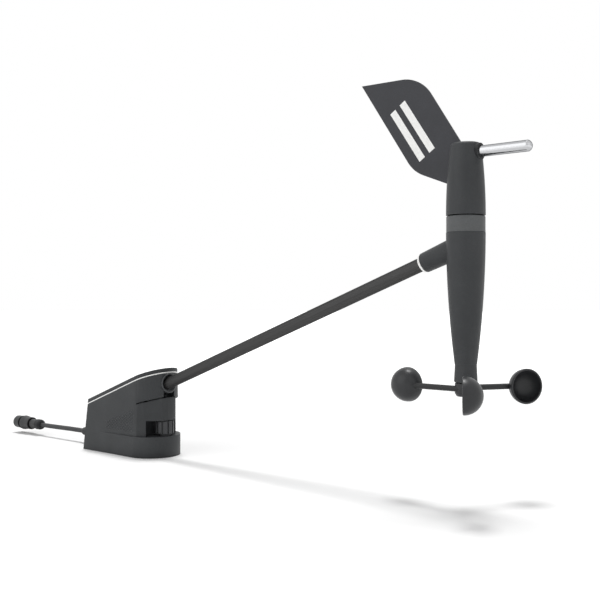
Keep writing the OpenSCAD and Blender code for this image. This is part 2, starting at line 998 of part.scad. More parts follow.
module pod_shell() {
    outer = [for (z = levels(shell_z, band_z)) [pod_r(z), z]];
    inner = [for (z = levels(shell_z, band_z)) [pod_r(z) - pod_wall, z]];
    ledge_r = pod_r(vane_board_z) - pod_wall;
    boss_end = [for (a = [0:15:90])
        [boss_end_r - boss_round[0] * (1 - cos(a)), boss_len - boss_round[1] * (1 - sin(a))]];
    color(charcoal)
        difference() {
            union() {
                difference() {
                    union() {
                        on_pod()
                            rotate_extrude()
                                polygon(concat([[0, shell_z]], outer, [[0, band_z]]));
                        on_arm()
                            rotate_extrude()
                                polygon(concat(
                                    [[0, boss_start], [boss_root_r, boss_start]], boss_end, [[0, boss_len]]
                                ));
                    }
                    on_pod()
                        rotate_extrude()
                            polygon(concat([[0, shell_z - eps], [inner[0][0], shell_z - eps]], inner,
                                [[inner[profile_steps][0], band_z + eps], [0, band_z + eps]]));
                }
                on_pod()
                    tube(ledge_r + pod_wall / 2, ledge_r - ledge_w, vane_board_z - ledge_t, vane_board_z);
            }
            on_arm() {
                rod(arm_d / 2 + push_fit, tube_end_s - push_fit, boss_len + eps);
                rod(lead_r + lead_clear, 0, tube_end_s);
            }
        }
}

// The pale ring on top of the pod, which holds the vane's bearings in its middle tube
module pod_band() {
    seat_r = vane_bearing_r + push_fit;
    bore_r = vane_bearing_r - shoulder;
    spigot_out = pod_r(band_z - band_spigot_h) - pod_wall - push_fit;
    spigot_bore = spigot_out - band_spigot_t;
    rim_r = band_r - band_rim_t;
    web_z = band_z + band_web_t;
    color(band_grey)
        on_pod()
            rotate_extrude()
                polygon([
                    [seat_r, vane_tube_low], [vane_tube_r, vane_tube_low], [vane_tube_r, band_z],
                    [spigot_bore, band_z], [spigot_bore, band_z - band_spigot_h],
                    [spigot_out, band_z - band_spigot_h], [spigot_out, band_z],
                    [band_r - edge_small, band_z], [band_r, band_z + edge_small],
                    [band_r, band_top - edge_break], [band_r - edge_break, band_top], [rim_r, band_top],
                    [rim_r, web_z], [vane_tube_r, web_z], [vane_tube_r, vane_tube_top],
                    [seat_r, vane_tube_top], [seat_r, vane_top_bearing], [bore_r, vane_top_bearing],
                    [bore_r, vane_low_bearing + bearing_h], [seat_r, vane_low_bearing + bearing_h]
                ]);
}

// A soft ring on the band's tube that keeps rain out of the upper bearing
module band_seal() {
    web_z = band_z + band_web_t;
    color(rubber)
        on_pod()
            tube(band_r - band_rim_t - push_fit, vane_tube_r + push_fit, web_z, web_z + band_seal_h);
}

// The collar under the pod, which holds the rotor's bearings
module rotor_housing() {
    seat_r = rotor_bearing_r + push_fit;
    color(charcoal)
        on_pod()
            rotate_extrude()
                polygon([
                    [seat_r, collar_z], [collar_low_r - edge_break, collar_z],
                    [collar_low_r, collar_z + edge_break], [collar_top_r, shell_z],
                    [rotor_tube_r, shell_z], [rotor_tube_r, rotor_tube_top], [seat_r, rotor_tube_top],
                    [seat_r, rotor_top_bearing], [rotor_bore_r, rotor_top_bearing],
                    [rotor_bore_r, rotor_low_bearing + bearing_h], [seat_r, rotor_low_bearing + bearing_h]
                ]);
}

module vane_bearings() {
    color(steel)
        on_pod()
            for (z = [vane_low_bearing, vane_top_bearing])
                tube(vane_bearing_r, vane_shaft_r + run_fit, z, z + bearing_h);
}

module rotor_bearings() {
    color(steel)
        on_pod()
            for (z = [rotor_low_bearing, rotor_top_bearing])
                tube(rotor_bearing_r, rotor_shaft_r + run_fit, z, z + bearing_h);
}

module vane_board() {
    color(board_green)
        on_pod() {
            rod(pod_r(vane_board_z) - pod_wall - vane_board_fit, vane_board_z, vane_board_z + board_t);
            translate([-chip_w / 2, -chip_w / 2, vane_board_z + board_t - sink])
                cube([chip_w, chip_w, chip_h]);
        }
}

module rotor_board() {
    color(board_green)
        on_pod() {
            rod(rotor_board_r, rotor_tube_top, rotor_tube_top + board_t);
            translate([-rotor_chip_w / 2, -rotor_chip_w / 2, rotor_tube_top - rotor_chip_h])
                cube([rotor_chip_w, rotor_chip_w, rotor_chip_h + sink]);
        }
}

module pod_lead() {
    color(rubber)
        on_pod()
            translate([pod_lead_x, 0, 0])
                rod(pod_lead_r, rotor_tube_top + board_t, vane_board_z);
}

module fin_outline() {
    tip = [fin_reach, fin_top + fin_tip_rise];
    nose = [fin_corner_u, fin_top];
    heel = [fin_heel_u, fin_heel_z];
    front = [fin_root, cap_top + fin_front_rise];
    low = [fin_root, fin_heel_z - fin_root_drop];
    points = concat([tip], corner_arc(tip, nose, front, fin_nose_r, 12), [front, low],
        corner_arc(low, heel, tip, fin_heel_r, 8));
    polygon([for (p = points) [reach - p[0], p[1]]]);
}

module vane_cap() {
    outer = [for (z = levels(cap_z, cap_top - cap_edge)) [cap_r(z), z]];
    inner = [for (z = levels(cap_z, cap_top - cap_wall)) [cap_r(z) - cap_wall, z]];
    edge_r = cap_r(cap_top - cap_edge) - cap_edge;
    edge = [for (a = [15:15:90]) [edge_r + cap_edge * cos(a), cap_top - cap_edge + cap_edge * sin(a)]];
    color(charcoal)
        difference() {
            on_pod()
                difference() {
                    rotate_extrude()
                        polygon(concat([[0, cap_z]], outer, edge, [[0, cap_top]]));
                    difference() {
                        rotate_extrude()
                            polygon(concat([[0, cap_z - eps], [inner[0][0], cap_z - eps]], inner,
                                [[0, cap_top - cap_wall]]));
                        rod(post_r, post_low, cap_top);
                    }
                    rod(vane_shaft_r + push_fit, cap_z - eps, post_low + shaft_in_cap);
                    translate([fin_root, 0, weight_z])
                        rotate([0, 90, 0])
                            cylinder(r = bush_r + push_fit, h = far);
                }
            side_cut(fin_t + 2 * fin_fit) fin_outline();
        }
}

module vane_fin() {
    color(charcoal)
        side_cut(fin_t) fin_outline();
}

module on_weight() {
    translate([reach, 0, weight_z])
        rotate([0, 90, 0])
            children();
}

module weight_bush() {
    color(rubber)
        on_weight() tube(bush_r, weight_d / 2 + push_fit, fin_root, bush_end);
}

// A polished bar with a domed end
module counterweight() {
    dome_r = (pow(weight_d / 2, 2) + pow(weight_dome, 2)) / (2 * weight_dome);
    color(steel)
        on_weight() {
            rod(weight_d / 2, fin_root, weight_reach - weight_dome);
            intersection() {
                translate([0, 0, weight_reach - dome_r])
                    sphere(r = dome_r);
                rod(weight_d / 2, weight_reach - weight_dome, weight_reach);
            }
        }
}

module vane_shaft() {
    color(steel)
        on_pod() rod(vane_shaft_r, vane_shaft_low, post_low + shaft_in_cap);
}

module vane_clip() {
    top = vane_low_bearing - free_gap;
    color(steel)
        on_pod() tube(vane_clip_r, vane_shaft_r + push_fit / 2, top - vane_clip_h, top);
}

module vane_magnet() {
    color(magnet_grey)
        on_pod() rod(vane_magnet_r, vane_shaft_low - vane_magnet_h, vane_shaft_low);
}

// Puts +X along a cup's spoke, with +Y on the side of its dome
module on_spoke(i) {
    translate([reach, 0, cup_z])
        rotate([0, 0, first_cup_angle + i * 360 / cup_count])
            children();
}

module spoke_rod(r) {
    translate([spoke_in, spoke_off, 0])
        rotate([0, 90, 0])
            cylinder(r = r, h = cup_circle_r - spoke_in);
}

module rotor_hub() {
    r = hub_d / 2;
    color(charcoal)
        difference() {
            on_pod()
                difference() {
                    rotate_extrude()
                        polygon([
                            [0, hub_z], [r - hub_chamfer[0], hub_z], [r, hub_z + hub_chamfer[1]],
                            [r, hub_top - edge_small], [r - edge_small, hub_top], [0, hub_top]
                        ]);
                    rod(rotor_shaft_r + push_fit, hub_top - hub_shaft_in, hub_top + eps);
                    rod(hub_screw_r, hub_z - eps, hub_top);
                    rod(hub_screw_head_r + free_gap, hub_z - eps, hub_z + hub_screw_head_h);
                }
            for (i = [0:cup_count - 1])
                on_spoke(i) spoke_rod(spoke_d / 2 + spoke_fit);
        }
}

module rotor_spokes() {
    color(charcoal)
        for (i = [0:cup_count - 1])
            on_spoke(i)
                difference() {
                    spoke_rod(spoke_d / 2);
                    translate([cup_circle_r, 0, 0])
                        sphere(r = cup_d / 2 + push_fit);
                }
}

// A half sphere whose rim lies in the plane of the axis
module cup(i) {
    r = cup_d / 2;
    color(charcoal)
        on_spoke(i)
            translate([cup_circle_r, 0, 0])
                difference() {
                    sphere(r = r);
                    sphere(r = r - cup_wall);
                    translate([-cup_d, -2 * cup_d, -cup_d])
                        cube(2 * cup_d);
                }
}

module rotor_shaft() {
    low = hub_top - hub_shaft_in;
    color(steel)
        on_pod()
            difference() {
                rod(rotor_shaft_r, low, rotor_shaft_top);
                rod(hub_screw_r - push_fit, low - eps, low + hub_screw_len);
            }
}

module rotor_magnet() {
    color(magnet_grey)
        on_pod() rod(rotor_magnet_r, rotor_shaft_top, rotor_shaft_top + rotor_magnet_h);
}

module hub_screw() {
    tip = hub_top - hub_shaft_in + hub_screw_len - eps;
    color(steel)
        on_pod() {
            difference() {
                rod(hub_screw_head_r, hub_z, hub_z + hub_screw_head_h);
                translate([0, 0, hub_z - eps])
                    cylinder(r = screw_r, h = eps + hub_screw_head_h / 2, $fn = 6);
            }
            rod(hub_screw_r - 2 * push_fit, hub_z + hub_screw_head_h - eps, tip);
        }
}

block_housing();
block_lid();
lid_trim();
lid_screws();
socket_sleeve();
contact_block();
contact_ribbon();
terminal_board();
cable_clamp();
clamp_screws();
cable_boot();
signal_cable();
plug_clamp();
plug_body();
plug_insert();
plug_contacts();
plug_nut();
wheel_washer();
lock_wheel();
lock_bolt();
arm_tube();
arm_spigot();
spigot_seals();
spigot_pins();
arm_lead();
arm_trim_ring();
pod_shell();
pod_band();
band_seal();
rotor_housing();
vane_bearings();
rotor_bearings();
vane_board();
rotor_board();
pod_lead();
vane_cap();
vane_fin();
counterweight();
weight_bush();
vane_shaft();
vane_clip();
vane_magnet();
rotor_hub();
rotor_spokes();
cup(0);  // cup_1
cup(1);  // cup_2
cup(2);  // cup_3
rotor_shaft();
rotor_magnet();
hub_screw();
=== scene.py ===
import math

import bmesh
import bpy
from mathutils import Matrix, Vector


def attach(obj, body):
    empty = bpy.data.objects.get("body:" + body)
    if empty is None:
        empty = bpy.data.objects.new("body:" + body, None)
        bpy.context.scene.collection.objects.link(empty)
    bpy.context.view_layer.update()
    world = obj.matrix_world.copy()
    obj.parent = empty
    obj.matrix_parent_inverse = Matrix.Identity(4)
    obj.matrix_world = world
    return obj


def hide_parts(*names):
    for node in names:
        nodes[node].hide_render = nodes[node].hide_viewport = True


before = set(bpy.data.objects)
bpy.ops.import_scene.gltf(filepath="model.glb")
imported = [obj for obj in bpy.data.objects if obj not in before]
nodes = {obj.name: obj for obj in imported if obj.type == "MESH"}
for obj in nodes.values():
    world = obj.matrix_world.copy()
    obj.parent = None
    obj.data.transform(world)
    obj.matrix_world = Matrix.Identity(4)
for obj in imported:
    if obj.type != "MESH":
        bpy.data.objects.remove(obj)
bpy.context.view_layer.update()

MM = 0.001


# Studio camera
# The view is level, from the side of the cups, 40 degrees off the arm's own plane, with a lens a little
# longer than normal. The frame is square.
LENS_MM = 54
SENSOR_MM = 36
CLIP_MM = 10
CAMERA_SPOT = (738.7, -612.3, 158.4)
CAMERA_LEVEL, CAMERA_TURN = math.radians(90), math.radians(40)
camera_data = bpy.data.cameras.new("studio_camera")
camera_data.lens = LENS_MM
camera_data.sensor_width = SENSOR_MM
camera_data.clip_start = CLIP_MM * MM
camera = bpy.data.objects.new("studio_camera", camera_data)
camera.location = [c * MM for c in CAMERA_SPOT]
camera.rotation_euler = (CAMERA_LEVEL, 0, CAMERA_TURN)
bpy.context.scene.collection.objects.link(camera)
bpy.context.scene.camera = camera


# Signal cable
# A short pigtail of round screened cable with an extruded PVC jacket. It leaves the rubber boot at the rear
# of the block, droops a little and is crimped into the plug.
CABLE_D = 5.2
CABLE_ROUND = 6
CABLE_EXIT = (-88, 0, 13)
CABLE_ROUTE = [
    CABLE_EXIT, (-93, 0, 13), (-97, 0, 13), (-101, 0, 13), (-105, 0, 13), (-109, 0, 13), (-113, 0, 13),
    (-121, 0, 12.9), (-129, 0, 12.8), (-137, 0, 12.7), (-145, 0, 12.6), (-153, 0, 12.5), (-157, 0, 12.5),
    (-162, 0, 12.5), (-167, 0, 12.5), (-171.5, 0, 12.5), (-176, 0, 12.5), (-181, 0, 12.5),
]


def linear(hex_colour):
    """An sRGB hex colour as linear RGBA."""
    parts = [int(hex_colour[i:i + 2], 16) / 255 for i in (1, 3, 5)]
    return [c / 12.92 if c <= 0.04045 else ((c + 0.055) / 1.055) ** 2.4 for c in parts] + [1.0]


def add_node(tree, kind, values=None, feeds=None, **settings):
    """One node with its settings, its socket values and the outputs that feed it."""
    made = tree.nodes.new(kind)
    for name, value in settings.items():
        setattr(made, name, value)
    for socket, value in (values or {}).items():
        made.inputs[socket].default_value = value
    for socket, output in (feeds or {}).items():
        tree.links.new(output, made.inputs[socket])
    return made


def new_material(name, **sockets):
    """A material with constants set on its shader, and its node tree, shader and place on the object."""
    material = bpy.data.materials.new(name)
    material.use_nodes = True
    tree = material.node_tree
    shader = tree.nodes["Principled BSDF"]
    for socket, value in sockets.items():
        shader.inputs[socket.replace("_", " ")].default_value = value
    place = add_node(tree, "ShaderNodeTexCoord").outputs["Object"]
    return material, tree, shader, place


def per_mm(size_mm):
    """Texture scale whose features are about that many millimetres across, in coordinates in metres."""
    return 1 / (size_mm * MM)


# Blender tells the colour sockets of its mix node apart only by their numbers.
MIX_FACTOR, MIX_FROM, MIX_TO, MIX_RESULT = 0, 6, 7, 2


def tone(tree, shader, factor, dark, light):
    """Colours the shader between two hex colours by a factor from 0 to 1, and returns that colour."""
    mix = add_node(tree, "ShaderNodeMix", {MIX_FROM: linear(dark), MIX_TO: linear(light)},
                   {MIX_FACTOR: factor}, data_type="RGBA")
    tree.links.new(mix.outputs[MIX_RESULT], shader.inputs["Base Color"])
    return mix.outputs[MIX_RESULT]


def relief(tree, shader, height, smooth, rough, strength, deep_mm):
    """Lets one pattern from 0 to 1 set the shader's roughness between two values, and its bump."""
    spread = add_node(tree, "ShaderNodeMapRange", {"To Min": smooth, "To Max": rough}, {"Value": height})
    tree.links.new(spread.outputs["Result"], shader.inputs["Roughness"])
    bump = add_node(tree, "ShaderNodeBump", {"Strength": strength, "Distance": deep_mm * MM},
                    {"Height": height})
    tree.links.new(bump.outputs["Normal"], shader.inputs["Normal"])


def dress(material, *names):
    """Gives CAD nodes a material in all their slots."""
    for name in names:
        mesh = nodes[name].data
        mesh.materials.clear()
        mesh.materials.append(material)


# PVC jacket, extruded: smooth and a little waxy, with faint waves along its length and a fine matt bloom.
JACKET_WAVE_MM, JACKET_BLOOM_MM = 9, 0.5
pvc_jacket, tree, shader, place = new_material("extruded_pvc_jacket", IOR=1.53, Specular_IOR_Level=0.4)
wave = add_node(tree, "ShaderNodeTexNoise", {"Scale": per_mm(JACKET_WAVE_MM), "Detail": 2}, {"Vector": place})
tone(tree, shader, wave.outputs["Fac"], "#27282a", "#393a3b")
bloom = add_node(tree, "ShaderNodeTexNoise", {"Scale": per_mm(JACKET_BLOOM_MM), "Detail": 3},
                 {"Vector": place})
relief(tree, shader, bloom.outputs["Fac"], smooth=0.42, rough=0.6, strength=0.4, deep_mm=0.05)
dress(pvc_jacket, "signal_cable")

cable_curve = bpy.data.curves.new("signal_cable_jacket", "CURVE")
cable_curve.dimensions = "3D"
cable_curve.bevel_depth = CABLE_D / 2 * MM
cable_curve.bevel_resolution = CABLE_ROUND
cable_curve.use_fill_caps = True
spline = cable_curve.splines.new("POLY")
spline.points.add(len(CABLE_ROUTE) - 1)
for point, (x, y, z) in zip(spline.points, CABLE_ROUTE):
    point.co = (x * MM, y * MM, z * MM, 1)
spline.use_smooth = True
cable = bpy.data.objects.new("signal_cable_jacket", cable_curve)
bpy.context.scene.collection.objects.link(cable)
cable.data.materials.append(pvc_jacket)
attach(cable, "mast_block")
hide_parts("signal_cable")


# Mast block housing
# The foot of the sensor: one injection moulding in charcoal ASA, which stands the sun, with a fine texture.
# A shallow grip of diamonds fades out on each side, and a rounded rim stands round the arm's socket.
BLOCK_W, SIDE_LEAN, LEAN_H = 53, 1.6, 90
JOIN_MM = 0.001
FLAT_ANGLE, SHARP_ANGLE = math.radians(0.5), math.radians(35)
MOTTLE_MM, WEAR_MM = 30, 0.5


def side_y(z):
    """Half width of the block at a height."""
    return BLOCK_W / 2 - SIDE_LEAN * z / LEAN_H


def soften(name, width_mm, segments):
    """Rounds a CAD node's sharp edges, as a mould does, once its faces are joined and its flats are whole."""
    joined = nodes[name].modifiers.new("joined_faces", "WELD")
    joined.merge_threshold = JOIN_MM * MM
    flats = nodes[name].modifiers.new("whole_flats", "DECIMATE")
    flats.decimate_type = "DISSOLVE"
    flats.angle_limit = FLAT_ANGLE
    edge = nodes[name].modifiers.new("moulded_edge", "BEVEL")
    edge.width = width_mm * MM
    edge.segments = segments
    edge.limit_method = "ANGLE"
    edge.angle_limit = SHARP_ANGLE
    edge.harden_normals = True
    edge.use_clamp_overlap = True


def close_rings(bm, rings, smooth):
    """Joins rings of vertices, the last one to the first, into one closed tube."""
    for ring, after in zip(rings, rings[1:] + rings[:1]):
        for k in range(len(ring)):
            n = (k + 1) % len(ring)
            bm.faces.new((ring[k], ring[n], after[n], after[k])).smooth = smooth


def new_piece(name, bm, material, body):
    """A mesh object from a bmesh, that rides on a body."""
    bmesh.ops.recalc_face_normals(bm, faces=bm.faces)
    mesh = bpy.data.meshes.new(name)
    bm.to_mesh(mesh)
    bm.free()
    mesh.materials.append(material)
    piece = bpy.data.objects.new(name, mesh)
    bpy.context.scene.collection.objects.link(piece)
    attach(piece, body)


def moulded_plastic(name, dark, light, worn, roughness, grain_mm, grain_deep_mm):
    """Plastic from a textured mould: matt, mottled a little, and rubbed paler along its edges by handling."""
    material, tree, shader, place = new_material(name, IOR=1.52, Specular_IOR_Level=0.35)
    mottle = add_node(tree, "ShaderNodeTexNoise", {"Scale": per_mm(MOTTLE_MM), "Detail": 4, "Roughness": 0.6},
                      {"Vector": place})
    grain = add_node(tree, "ShaderNodeTexNoise", {"Scale": per_mm(grain_mm), "Detail": 3}, {"Vector": place})
    both = add_node(tree, "ShaderNodeMath", feeds={0: mottle.outputs["Fac"], 1: grain.outputs["Fac"]},
                    operation="MULTIPLY")
    spread = add_node(tree, "ShaderNodeMapRange", {"From Min": 0.15, "From Max": 0.38},
                      {"Value": both.outputs["Value"]})
    colour = tone(tree, shader, spread.outputs["Result"], dark, light)
    # An edge is where the normal, once rounded over the width that wears, leaves the true one.
    rounded = add_node(tree, "ShaderNodeBevel", {"Radius": WEAR_MM * MM}, samples=4)
    true_normal = add_node(tree, "ShaderNodeNewGeometry")
    facing = add_node(tree, "ShaderNodeVectorMath",
                      feeds={0: rounded.outputs["Normal"], 1: true_normal.outputs["Normal"]},
                      operation="DOT_PRODUCT")
    edge = add_node(tree, "ShaderNodeMapRange",
                    {"From Min": 0.995, "From Max": 0.86, "To Min": 0.0, "To Max": 0.7},
                    {"Value": facing.outputs["Value"]})
    rubbed = add_node(tree, "ShaderNodeMath", feeds={0: edge.outputs["Result"], 1: mottle.outputs["Fac"]},
                      operation="MULTIPLY")
    polish = add_node(tree, "ShaderNodeMix", {MIX_TO: linear(worn)},
                      {MIX_FACTOR: rubbed.outputs["Value"], MIX_FROM: colour}, data_type="RGBA")
    tree.links.new(polish.outputs[MIX_RESULT], shader.inputs["Base Color"])
    relief(tree, shader, grain.outputs["Fac"], smooth=roughness - 0.08, rough=roughness + 0.08,
           strength=0.5, deep_mm=grain_deep_mm)
    return material


# Charcoal ASA from a spark-eroded mould: matt and even, with a fine grain. The real grain is about 0.2 mm; it
# is drawn at 0.6 mm so that it shows.
charcoal_asa = moulded_plastic("moulded_asa_charcoal", "#2a2c2e", "#353739", "#4b4e51",
                               roughness=0.52, grain_mm=0.6, grain_deep_mm=0.03)
dress(charcoal_asa, "block_housing")
soften("block_housing", width_mm=0.5, segments=2)

KNURL_X, KNURL_Z = 4.6, 3.4
KNURL_HIGH, KNURL_SINK = 0.7, 0.1
KNURL_REAR, KNURL_FRONT, KNURL_LOW = -18, 29, 23
KNURL_FIRST_ROW = 2
KNURL_COLUMNS, KNURL_ROWS = 12, 17
KNURL_MARGIN, KNURL_FADE = 0.8, 4
KNURL_HALF, KNURL_LEAST = 0.47, 0.35
EDGE_X, EDGE_Z, EDGE_SLOPE = 27, 49.7, math.radians(17.6)
bm = bmesh.new()
for side in (-1, 1):
    for row in range(KNURL_ROWS):
        for column in range(KNURL_COLUMNS):
            x = KNURL_REAR + (column + 0.5 * (row % 2)) * KNURL_X
            z = KNURL_LOW + KNURL_FIRST_ROW + row * KNURL_Z / 2
            under_edge = (x - EDGE_X) * math.sin(EDGE_SLOPE) - (z - EDGE_Z) * math.cos(EDGE_SLOPE)
            inside = min(under_edge, x - KNURL_REAR, KNURL_FRONT - x, z - KNURL_LOW)
            if inside < KNURL_MARGIN:
                continue
            share = min(1, inside / KNURL_FADE)
            size = KNURL_HALF * (KNURL_LEAST + (1 - KNURL_LEAST) * share)
            base = [bm.verts.new((px * MM, side * (side_y(pz) - KNURL_SINK) * MM, pz * MM))
                    for px, pz in ((x - size * KNURL_X, z), (x, z - size * KNURL_Z),
                                   (x + size * KNURL_X, z), (x, z + size * KNURL_Z))]
            tip = bm.verts.new((x * MM, side * (side_y(z) + KNURL_HIGH * share) * MM, z * MM))
            bm.faces.new(base)
            for i in range(4):
                bm.faces.new((base[i], base[(i + 1) % 4], tip))
new_piece("side_grip_diamonds", bm, charcoal_asa, "mast_block")

ARM_ANGLE = math.radians(20.6)
ARM_BASE_Z = 54.7
NOSE_X = 27.5
RIM_R, RIM_TUBE_R, RIM_OUT = 8.7, 0.95, 0.35
RIM_STEPS, RIM_SIDES = 72, 10
SETTLE_PASSES = 6
arm_way = Vector((math.cos(ARM_ANGLE), 0, math.sin(ARM_ANGLE)))
arm_up = Vector((-math.sin(ARM_ANGLE), 0, math.cos(ARM_ANGLE)))
arm_side = Vector((0, 1, 0))
bm = bmesh.new()
rings = []
for i in range(RIM_STEPS):
    turn = 2 * math.pi * i / RIM_STEPS
    out = math.cos(turn) * arm_up + math.sin(turn) * arm_side
    spot = Vector((0, 0, ARM_BASE_Z)) + RIM_R * out
    # The point slides along the arm until it lies on the round nose.
    for _ in range(SETTLE_PASSES):
        face_x = NOSE_X + math.sqrt(side_y(spot.z) ** 2 - spot.y ** 2)
        spot += (face_x - spot.x) / arm_way.x * arm_way
    spot += RIM_OUT * arm_way
    rings.append([bm.verts.new((spot + RIM_TUBE_R * (math.cos(b) * out + math.sin(b) * arm_way)) * MM)
                  for b in (2 * math.pi * k / RIM_SIDES for k in range(RIM_SIDES))])
close_rings(bm, rings, smooth=True)
# The same ASA, smoother so that the rim shines a little, and coloured paler than the housing as a painted
# highlight where the light catches the rim.
rim_asa_painted_highlight = moulded_plastic("charcoal_asa_painted_highlight", "#3c3e40", "#494b4d", "#66686a",
                             roughness=0.36, grain_mm=0.6, grain_deep_mm=0.01)
new_piece("socket_rim", bm, rim_asa_painted_highlight, "mast_block")


# Lid, trim and lid screws
# A lid of the same moulding closes the block along the rake of the arm. A white strip of softer plastic is
# clipped under its edge as a seal, and two stainless screws hold it at the rear.
dress(charcoal_asa, "block_lid")
soften("block_lid", width_mm=0.35, segments=2)

# White ASA from a smoother mould: clean and bright, with a soft gloss that sets it off from the charcoal.
white_trim = moulded_plastic("moulded_asa_white", "#f6f6f4", "#fdfdfb", "#ffffff",
                             roughness=0.42, grain_mm=0.5, grain_deep_mm=0.02)
dress(white_trim, "lid_trim")

TOOL_LINE_DEEP_MM = 0.01


def turned_metal(name, dark, light, roughness, line_mm, brushed, **sockets):
    """Metal off a lathe, bare or plated: bright, with fine tool lines that break up its reflections."""
    material, tree, shader, place = new_material(name, Metallic=1.0, **sockets)
    lines = add_node(tree, "ShaderNodeTexNoise", {"Scale": per_mm(line_mm), "Detail": 2}, {"Vector": place})
    tone(tree, shader, lines.outputs["Fac"], dark, light)
    relief(tree, shader, lines.outputs["Fac"], smooth=roughness * 0.7, rough=roughness * 1.4,
           strength=brushed, deep_mm=TOOL_LINE_DEEP_MM)
    return material


# Stainless steel as it comes off the lathe: pale grey and bright, and soft in what it mirrors.
turned_steel = turned_metal("turned_stainless_steel", "#a9abae", "#cfd1d3",
                            roughness=0.28, line_mm=0.4, brushed=0.3)
dress(turned_steel, "lid_screws")


# Arm socket and the works inside the block
# A grey acetal sleeve lines the socket in the nose, with a rubber contact block at its end. A flat lead joins
# it to the terminal board on the floor, where the cable is clamped.

# Acetal is slippery and a little waxy, so it looks sleeker than the housing round it.
dark_acetal = moulded_plastic("moulded_acetal_dark", "#26272a", "#303235", "#4a4c50",
                              roughness=0.42, grain_mm=0.5, grain_deep_mm=0.015)
dress(dark_acetal, "cable_clamp")
# The same plastic in grey, which shows the sleeve as a paler lining in the dark socket.
grey_acetal = moulded_plastic("moulded_acetal_grey", "#3e4042", "#4a4c4e", "#606264",
                              roughness=0.42, grain_mm=0.5, grain_deep_mm=0.015)
dress(grey_acetal, "socket_sleeve")

DUST_MM, DUST_DEEP_MM = 4, 0.05


def moulded_rubber(name, dark, light, gloss, bloom):
    """Rubber from a smooth mould: deep matt, with a dusty bloom in patches."""
    material, tree, shader, place = new_material(name, IOR=1.52, Specular_IOR_Level=gloss,
                                                 Sheen_Weight=bloom, Sheen_Roughness=0.5)
    dust = add_node(tree, "ShaderNodeTexNoise", {"Scale": per_mm(DUST_MM), "Detail": 5, "Roughness": 0.65},
                    {"Vector": place})
    tone(tree, shader, dust.outputs["Fac"], dark, light)
    relief(tree, shader, dust.outputs["Fac"], smooth=0.65, rough=0.9, strength=0.3, deep_mm=DUST_DEEP_MM)
    return material


# Nitrile rubber: black with a grey bloom, and no clear reflections.
black_rubber = moulded_rubber("moulded_nitrile_black", "#18191b", "#26282a", gloss=0.25, bloom=0.15)
dress(black_rubber, "contact_block", "contact_ribbon")

# Solder resist over copper: green, glossy, with paler runs where the tracks lie under it.
TRACK_PITCH_MM, TRACK_DEEP_MM = 5.2, 0.04
resist_board, tree, shader, place = new_material("solder_resist_on_glass_epoxy", IOR=1.5, Roughness=0.3)
tracks = add_node(tree, "ShaderNodeTexBrick", {"Scale": per_mm(TRACK_PITCH_MM), "Mortar Size": 0.06},
                  {"Vector": place})
tone(tree, shader, tracks.outputs["Fac"], "#1d4a33", "#3f7a55")
bump = add_node(tree, "ShaderNodeBump", {"Strength": 0.3, "Distance": TRACK_DEEP_MM * MM},
                {"Height": tracks.outputs["Fac"]})
tree.links.new(bump.outputs["Normal"], shader.inputs["Normal"])
dress(resist_board, "terminal_board")
dress(turned_steel, "clamp_screws")


# Boot and plug
# A tapered rubber boot carries the cable out of the rear wall. The plug has a rubber clamp, a moulded body, a
# coupling ring that turns on it, with a rubber seal in its groove, a black band behind it that is painted
# shade for the gap there, and gold-plated contacts.

# The boot's nitrile is greyer than the rest, as rubber turns in the sun.
boot_rubber = moulded_rubber("moulded_nitrile_grey", "#2c2d2e", "#3a3b3c", gloss=0.25, bloom=0.15)
# Moulded nylon: dark and close in the grain, and a little glossier than the housing.
plug_pa = moulded_plastic("moulded_nylon_plug", "#2b2c2d", "#38393a", "#555658",
                          roughness=0.46, grain_mm=0.4, grain_deep_mm=0.02)
# Gold plating on brass: warm yellow, clean and bright.
gold_brass = turned_metal("gold_plated_brass", "#b08d3f", "#d9bb6a",
                          roughness=0.25, line_mm=0.5, brushed=0.2)
dress(boot_rubber, "cable_boot")
dress(black_rubber, "plug_clamp", "plug_insert")
dress(plug_pa, "plug_body", "plug_nut")
dress(gold_brass, "plug_contacts")

PLUG_Z = 12.5
# The first profile is the seal in the groove; the second is a black band of painted shade in the gap behind
# the ring.
SEAL_AND_SHADE_BANDS = [
    ((-203.2, 6.4), (-203.2, 7.1), (-203.7, 7.6), (-207.0, 7.6), (-207.6, 7.1), (-207.6, 6.4)),
    ((-187.3, 5.0), (-187.3, 6.1), (-187.6, 6.4), (-188.4, 6.4), (-188.7, 6.1), (-188.7, 5.0)),
]
BAND_STEPS = 72
bm = bmesh.new()
for profile in SEAL_AND_SHADE_BANDS:
    rings = []
    for i in range(BAND_STEPS):
        turn = 2 * math.pi * i / BAND_STEPS
        rings.append([bm.verts.new((x * MM, r * math.cos(turn) * MM, (PLUG_Z + r * math.sin(turn)) * MM))
                      for x, r in profile])
    close_rings(bm, rings, smooth=False)
# EPDM rubber: the seal in the groove, and the black band behind the ring, which is painted shade for the gap
# there. Both are blacker than the rest of the plug, with hardly any gloss: partly the seal's own black,
# partly painted shade.
seal_rubber_and_painted_shade = moulded_rubber("epdm_black_and_painted_shade", "#0a0a0b", "#131314", gloss=0.06, bloom=0.0)
new_piece("plug_seal_and_shade_band", bm, seal_rubber_and_painted_shade, "plug_ring")


# Thumbwheel lock
# A moulded wheel with chunky grips turns on a dark acetal washer under the nose. Its thread drives a
# round-ended bolt of blackened steel up against the arm's spigot.

# The wheel's ASA is a shade paler than the housing and a little smoother, as thumbs polish it.
wheel_asa = moulded_plastic("moulded_asa_wheel", "#363739", "#434446", "#65676a",
                            roughness=0.48, grain_mm=0.5, grain_deep_mm=0.02)
dress(wheel_asa, "lock_wheel")
soften("lock_wheel", width_mm=0.5, segments=3)
